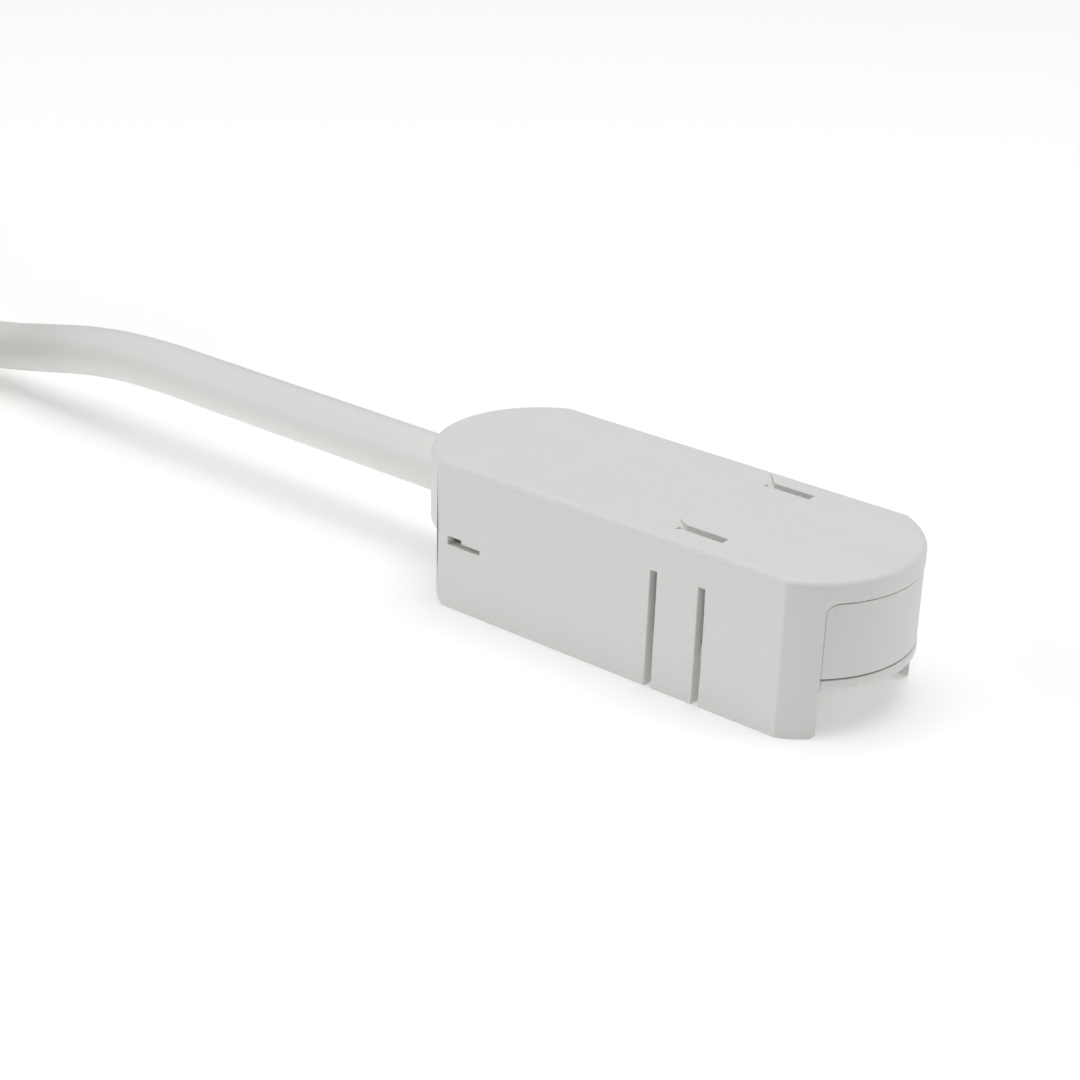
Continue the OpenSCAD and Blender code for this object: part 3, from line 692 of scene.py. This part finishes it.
def strandMesh(name):       # each tip is a ring of twisted strands round a middle one
    parts = bmesh.new()
    for k in range(len(leadNames)):
        foot, aim = leadFoot(k), leadHeading(k)
        across, up = Vector((-aim.y, aim.x, 0)), Vector((0, 0, 1))
        for strand in range(tips["count"] + 1):
            reach = 0 if strand == tips["count"] else tips["ring"]
            points = []
            for i in range(tips["steps"] + 1):
                run = tips["length"] * i / tips["steps"]
                a = 2 * math.pi * (run / tips["twist"] + strand / tips["count"])
                points.append(foot + aim * run + (across * math.cos(a) + up * math.sin(a)) * reach)
            mesh = tubeMesh("strand", points, tips["strand"], tips["sides"])
            closeEnds(mesh)
            parts.from_mesh(mesh)
            bpy.data.meshes.remove(mesh)
    return meshFrom(name, parts)


for k, shade in enumerate(leadNames):
    mesh = tubeMesh(shade + "Lead", leadPath(k), leads["diameter"] / 2, leads["sides"])
    closeEnds(mesh)
    lead = newPiece(shade + "Lead", mesh, "sensor", finish[shade])
    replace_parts(lead, "lead_" + shade)
strandMade = strandMesh("tinnedStrands")
smoothFaces(strandMade)
strands = newPiece("tinnedStrands", strandMade, "sensor", finish["tin"])
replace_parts(strands, "tinned_tips")
print("strap, leads and strands made")


# Moulded pieces: the frame's own shape with its edges eased
moulded = {
    "hood_cover": ("hoodShell", "hood", "hood_plastic", "hood", 0.10),
    "snap_finger_near": ("nearFinger", "finger_near", "hood_plastic", "hood", 0.08),
    "snap_finger_far": ("farFinger", "finger_far", "hood_plastic", "hood", 0.08),
    "capsule_body": ("capsuleShell", "sensor", "capsule_plastic", "capsule", 0.08),
    "bottom_lid": ("capsuleLid", "sensor", "capsule_plastic", "lid", 0.08),
}
easing = {
    "weld": 0.002 * mm, "segments": 2, "flat": 0.4, "sharp": 28.0, "shading": 40.0,      # angles in degrees
    "windowDrop": 1.9 * mm, "windowHalf": 3.6 * mm, "seam": 0.02 * mm,
}
fingerLow, fingerHigh = (Vector(corner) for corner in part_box("snap_finger_near"))
fingerMiddle = (fingerLow.x + fingerHigh.x) / 2
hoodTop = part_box("hood_cover")[1][2]


def staysCrisp(edge):       # at the core windows, and where a finger grows out of the skirt
    spot = (edge.verts[0].co + edge.verts[1].co) / 2
    atWindow = spot.z > hoodTop - easing["windowDrop"] and abs(spot.x - fingerMiddle) < easing["windowHalf"]
    atRoot = all(abs(v.co.z - fingerHigh.z) < easing["seam"] for v in edge.verts)
    return atWindow or atRoot and abs(spot.x - fingerMiddle) < easing["windowHalf"]


def easedMesh(node, name, width):
    bm = bmesh.new()
    bm.from_mesh(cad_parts[node].data)
    bmesh.ops.remove_doubles(bm, verts=bm.verts, dist=easing["weld"])
    bmesh.ops.dissolve_limit(bm, angle_limit=math.radians(easing["flat"]), verts=bm.verts, edges=bm.edges)
    corners = [e for e in bm.edges if e.is_manifold and not staysCrisp(e)
               and e.calc_face_angle() > math.radians(easing["sharp"])]
    bmesh.ops.bevel(bm, geom=corners, offset=width, offset_type="OFFSET", affect="EDGES",
                    segments=easing["segments"], profile=0.5, material=-1, clamp_overlap=False)
    return meshFrom(name, bm)


for node, (name, body, slotName, look, width) in moulded.items():
    mesh = easedMesh(node, name, width * mm)
    smoothFaces(mesh, easing["shading"])
    piece = newPiece(name, mesh, body, finish[look])
    weighted = piece.modifiers.new("shading", "WEIGHTED_NORMAL")
    weighted.keep_sharp = True
    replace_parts(piece, node)
    print(name, len(mesh.polygons), "faces")


# Inside the capsule the jacket is cut back, and the four cores bend down to their pads
inner = {
    "padRadius": 0.8 * mm, "reach": 3.9 * mm, "rise": 1.3 * mm, "above": 0.37 * mm, "steps": 22,
    "jacketSteps": 8,
    "side": [-1, -1, 1, 1], "high": [1, -1, -1, 1], "row": [-1, -1 / 3, 1 / 3, 1],
}
jacketEnd = Vector((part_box("jacket_inner_end")[1][0], 0, cable["exit"].z))
padLow, padHigh = (Vector(corner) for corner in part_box("solder_joints"))


def innerPath(k):
    apart = cable["diameter"] * leads["spread"]
    start = jacketEnd + Vector((0, inner["side"][k] * apart, inner["high"][k] * apart))
    acrossPads = inner["row"][k] * (padHigh.y - inner["padRadius"])
    pad = Vector((padLow.x + inner["padRadius"], acrossPads, padHigh.z))
    last = pad + Vector((0, 0, inner["above"]))
    out, up = Vector((1, 0, 0)), Vector((0, 0, 1))
    handles = (start, start + out * inner["reach"], last + up * inner["rise"], last)
    bend = [bezierPoint(handles, i / inner["steps"]) for i in range(inner["steps"] + 1)]
    return [start - out * leads["inside"]] + bend + [pad]


for k, shade in enumerate(leadNames):
    mesh = tubeMesh(shade + "Core", innerPath(k), leads["diameter"] / 2, leads["sides"])
    closeEnds(mesh)
    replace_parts(newPiece(shade + "Core", mesh, "sensor", finish[shade]), "core_" + shade)
jacketSteps = inner["jacketSteps"]
jacketRun = [cable["exit"].lerp(jacketEnd, i / jacketSteps) for i in range(jacketSteps + 1)]
jacketMesh = tubeMesh("jacketEnd", jacketRun, cable["diameter"] / 2, cable["sides"])
closeEnds(jacketMesh, cable["wall"], cable["cutDepth"])
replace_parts(newPiece("jacketEnd", jacketMesh, "sensor", finish["jacket"]), "jacket_inner_end")
print("cores laid inside the capsule")


# Pieces that keep the frame's mesh
kept = {
    "cable_sleeve": "rubber", "cable_clamp_tie": "nylon", "circuit_board": "laminate",
    "copper_tracks": "copper", "solder_joints": "solder", "reed_adhesive": "silicone",
    "reed_glass": "glass", "fixed_reed": "reed", "moving_reed_lead": "reed", "moving_reed_blade": "reed",
}
for node, look in kept.items():
    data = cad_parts[node].data
    data.materials.clear()
    data.materials.append(finish[look])
print("finishes set")


# Studio: a pale lit floor, an even pale sky and three soft lights
studio = {
    "sky": 0.15, "skyColor": (1.0, 0.998, 0.99), "backdrop": 1.05,
    "floorRadius": 0.42, "floorSides": 96, "floorColor": (0.93, 0.93, 0.925), "floorGlow": 0.24,
    "floorTone": 0.995, "floorRough": (0.75, 0.85), "floorDepth": 0.00001,
    "lights": {
        "top": {"place": (0.0, 0.05, 0.9), "size": (0.9, 0.9), "watts": 6.1},
        "left": {"place": (-0.7, -0.75, 0.45), "size": (0.8, 0.7), "watts": 3.05},
        "right": {"place": (0.75, 0.65, 0.6), "size": (0.7, 0.6), "watts": 2.1},
    },
    "aim": (-0.005, 0.0, 0.006),
}


def floorMaterial():
    material, tree, surface, spot = startMaterial("floorPaint")
    soft = noiseAt(tree, spot, 0.004, detail=3.0)
    fine = noiseAt(tree, spot, 1.2, detail=3.0, roughness=0.6)
    color = studio["floorColor"]
    dim = opaque(shaded(color, studio["floorTone"]))
    tree.links.new(mixed(tree, soft, dim, opaque(color)), surface["Base Color"])
    tree.links.new(remap(tree, fine, 0.3, 0.7, *studio["floorRough"]), surface["Roughness"])
    tree.links.new(bumped(tree, fine, studio["floorDepth"]), surface["Normal"])
    surface["Emission Color"].default_value = opaque(color)
    surface["Emission Strength"].default_value = studio["floorGlow"]
    return material


def makeStudio():
    bm = bmesh.new()
    bmesh.ops.create_circle(bm, cap_ends=True, segments=studio["floorSides"], radius=studio["floorRadius"])
    floorMesh = meshFrom("floor", bm)
    floorMesh.materials.append(floorMaterial())
    floor = bpy.data.objects.new("floor", floorMesh)
    scene.collection.objects.link(floor)
    world = bpy.data.worlds.new("sky")
    world.use_nodes = True
    sky = world.node_tree.nodes["Background"].inputs
    sky["Color"].default_value = opaque(studio["skyColor"])
    seen = put(world.node_tree, "ShaderNodeLightPath").outputs["Is Camera Ray"]
    strength = remap(world.node_tree, seen, 0, 1, studio["sky"], studio["backdrop"])
    world.node_tree.links.new(strength, sky["Strength"])     # behind the floor's edge it looks white
    scene.world = world
    for name, light in studio["lights"].items():
        data = bpy.data.lights.new(name, "AREA")
        data.shape = "RECTANGLE"
        data.size, data.size_y = light["size"]
        data.energy = light["watts"]
        lamp = bpy.data.objects.new(name, data)
        lamp.location = light["place"]
        lamp.rotation_euler = (Vector(studio["aim"]) - lamp.location).to_track_quat("-Z", "Y").to_euler()
        scene.collection.objects.link(lamp)


makeStudio()
scene.view_settings.view_transform = "Standard"
scene.view_settings.look = "None"
print("studio lit")
